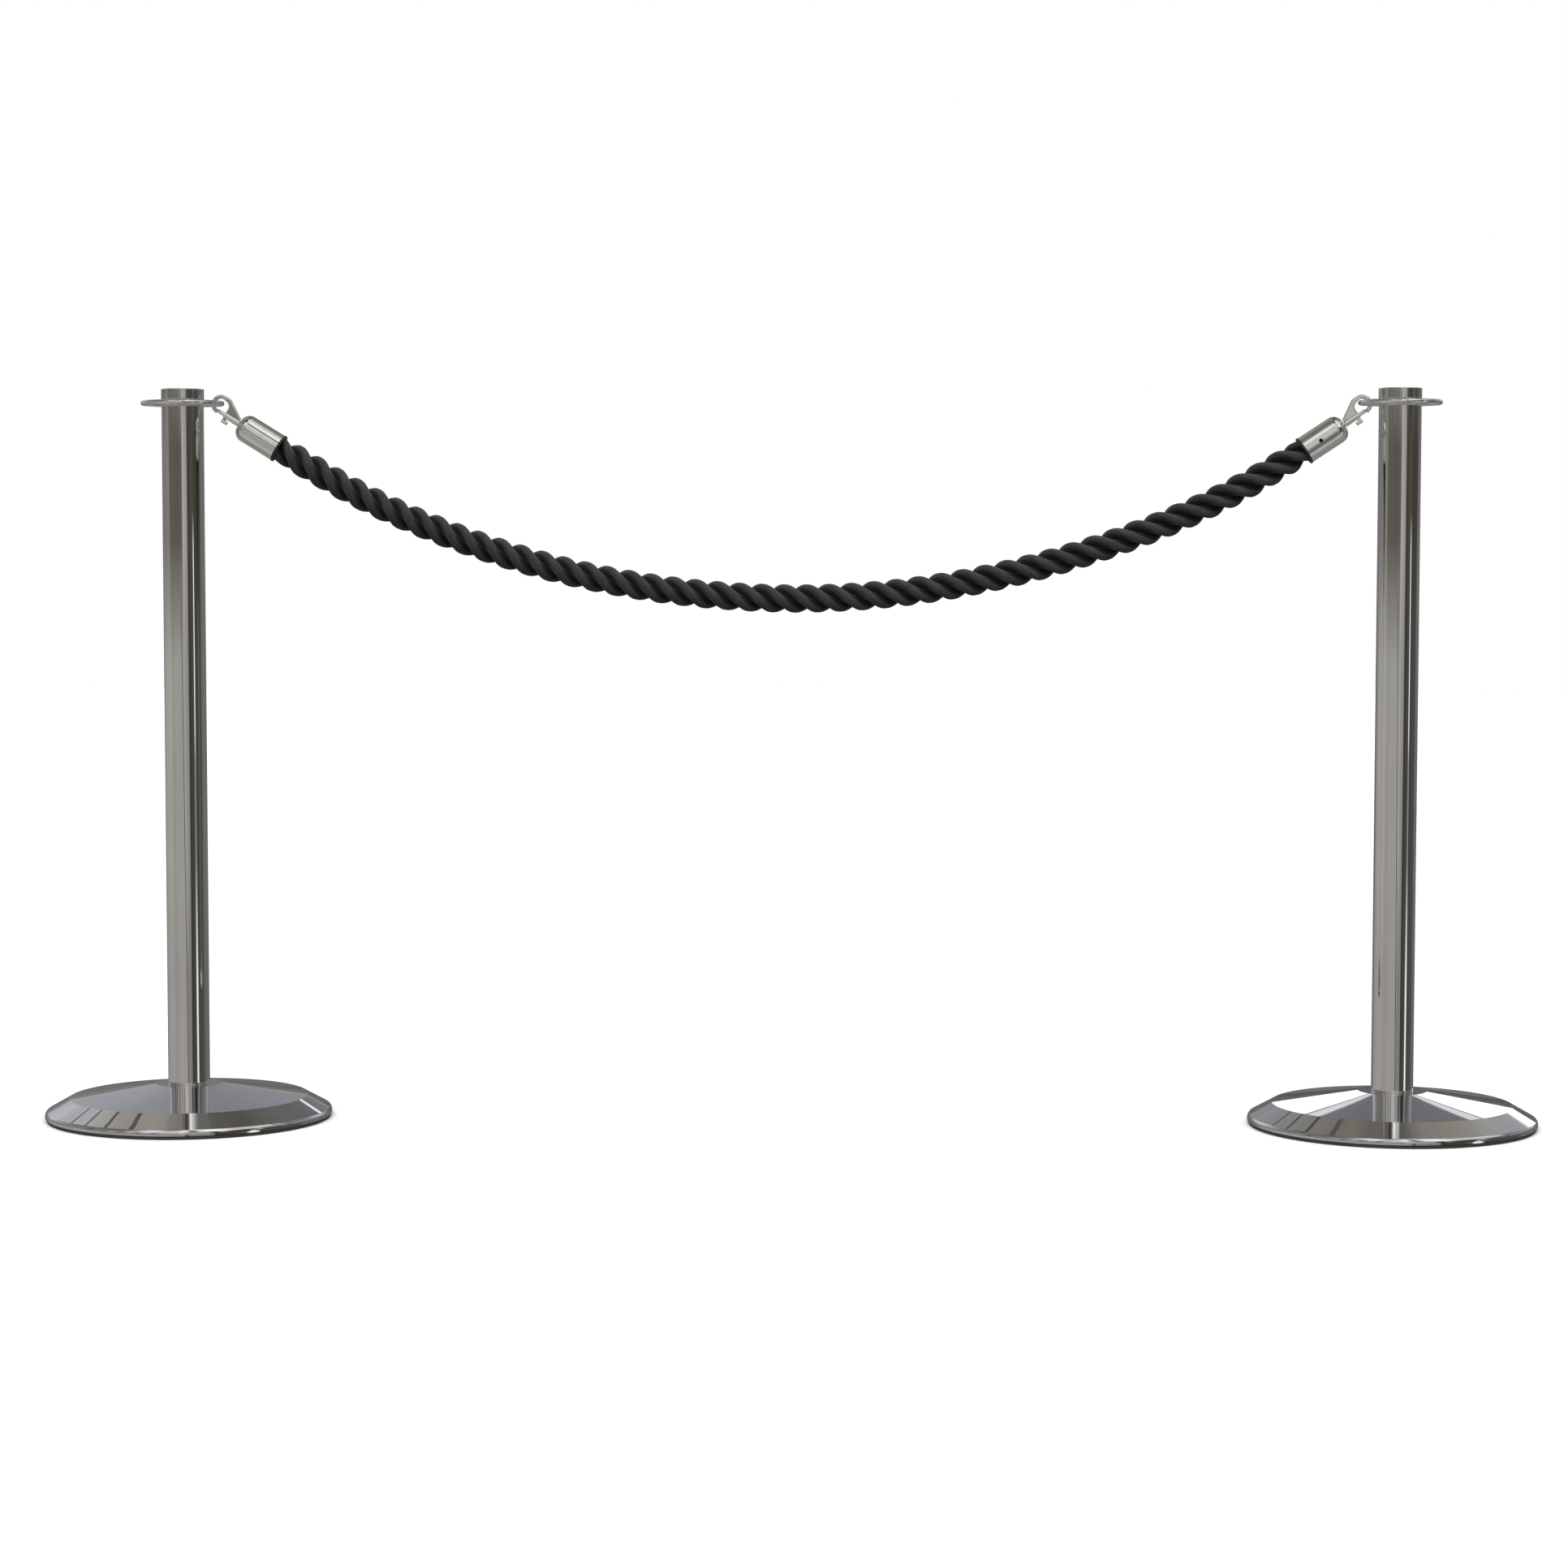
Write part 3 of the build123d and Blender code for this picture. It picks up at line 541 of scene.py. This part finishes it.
def even_points(points, step):
    """The same line with points at even distances: (distance, place, tangent) rows."""
    lengths = [0.0]
    for a, b in zip(points, points[1:]):
        lengths.append(lengths[-1] + (b - a).length)
    count = ceil(lengths[-1] / step)
    rows, at = [], 0
    for number in range(count + 1):
        distance = lengths[-1] * number / count
        while at < len(points) - 2 and lengths[at + 1] < distance:
            at += 1
        run = points[at + 1] - points[at]
        share = (distance - lengths[at]) / run.length
        rows.append((distance, points[at] + run * share, run.normalized()))
    return rows


def ease(value):
    value = min(1.0, max(0.0, value))
    return value * value * (3 - 2 * value)


def strand_section(angle):
    """A strand's outline in the plane across the rope: distance outwards and sideways."""
    outward = cos(angle)
    depth = STRAND_DEPTH if outward > 0 else STRAND_INNER_DEPTH
    half_width = STRAND_HALF_WIDTH + STRAND_SPREAD * max(0.0, -outward)
    ridge = RIDGE_HEIGHT * exp(-((angle - RIDGE_ANGLE) / RIDGE_SPREAD) ** 2)
    return STRAND_OFFSET + (depth + ridge) * outward, (half_width + ridge) * sin(angle)


def make_rope(material):
    """Three strands laid about the route, pressed together where they enter the cups."""
    line = route_points()
    rows = even_points(line, STRAND_STEP)
    length = rows[-1][0]
    across = Vector((0, 1, 0))
    vertices, faces, marks, crease_shade_facing = [], [], [], []
    for strand in range(STRANDS):
        first = len(vertices)
        for distance, place, along in rows:
            raised = along.cross(across)
            from_mouth = min(distance, length - distance) - MOUTH_FROM_SEAT
            size = MOUTH_SQUEEZE + (1 - MOUTH_SQUEEZE) * ease(from_mouth / SQUEEZE_FADE)
            turn = ROPE_PHASE + 2 * pi * (distance / ROPE_LAY + strand / STRANDS)
            outwards = across * cos(turn) + raised * sin(turn)
            sideways = raised * cos(turn) - across * sin(turn)
            for corner in range(STRAND_SIDES):
                out, side = strand_section(2 * pi * corner / STRAND_SIDES)
                vertices.append(place + (outwards * out + sideways * side) * size)
                # How far this point faces out from the rope: this drives the painted crease shade
                # in the yarn's colour.
                crease_shade_facing.append(cos(2 * pi * corner / STRAND_SIDES))
                marks.append((corner * 2 * STRAND_DEPTH * pi / STRAND_SIDES + strand, distance))
        for ring in range(len(rows) - 1):
            for corner in range(STRAND_SIDES):
                here = first + ring * STRAND_SIDES + corner
                near = first + ring * STRAND_SIDES + (corner + 1) % STRAND_SIDES
                faces.append((here, here + STRAND_SIDES, near + STRAND_SIDES, near))
        faces.append(tuple(first + corner for corner in range(STRAND_SIDES)))
        last = first + (len(rows) - 1) * STRAND_SIDES
        faces.append(tuple(last + corner for corner in reversed(range(STRAND_SIDES))))
    mesh = bpy.data.meshes.new("rope_strands")
    mesh.from_pydata(vertices, [], faces)
    mesh.update()
    layer = mesh.uv_layers.new(name="UVMap")
    for loop in mesh.loops:
        side, distance = marks[loop.vertex_index]
        layer.data[loop.index].uv = (distance, side)
    mesh.attributes.new("crease_shade_facing", "FLOAT", "POINT").data.foreach_set("value", crease_shade_facing)
    mesh.polygons.foreach_set("use_smooth", [True] * len(mesh.polygons))
    mesh.materials.append(material)
    rope = bpy.data.objects.new("rope_strands", mesh)
    bpy.context.scene.collection.objects.link(rope)
    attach(rope, "rope")
    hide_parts("rope")


# ---------------------------------------------------------------- the scene

make_camera()
make_world()
for lamp in LAMPS:
    make_lamp(*lamp)
for softbox in SOFTBOXES:
    make_softbox(*softbox)
make_floor()
dress_nodes()
make_rope(rope_yarn())
bpy.context.scene.view_settings.view_transform = "Standard"
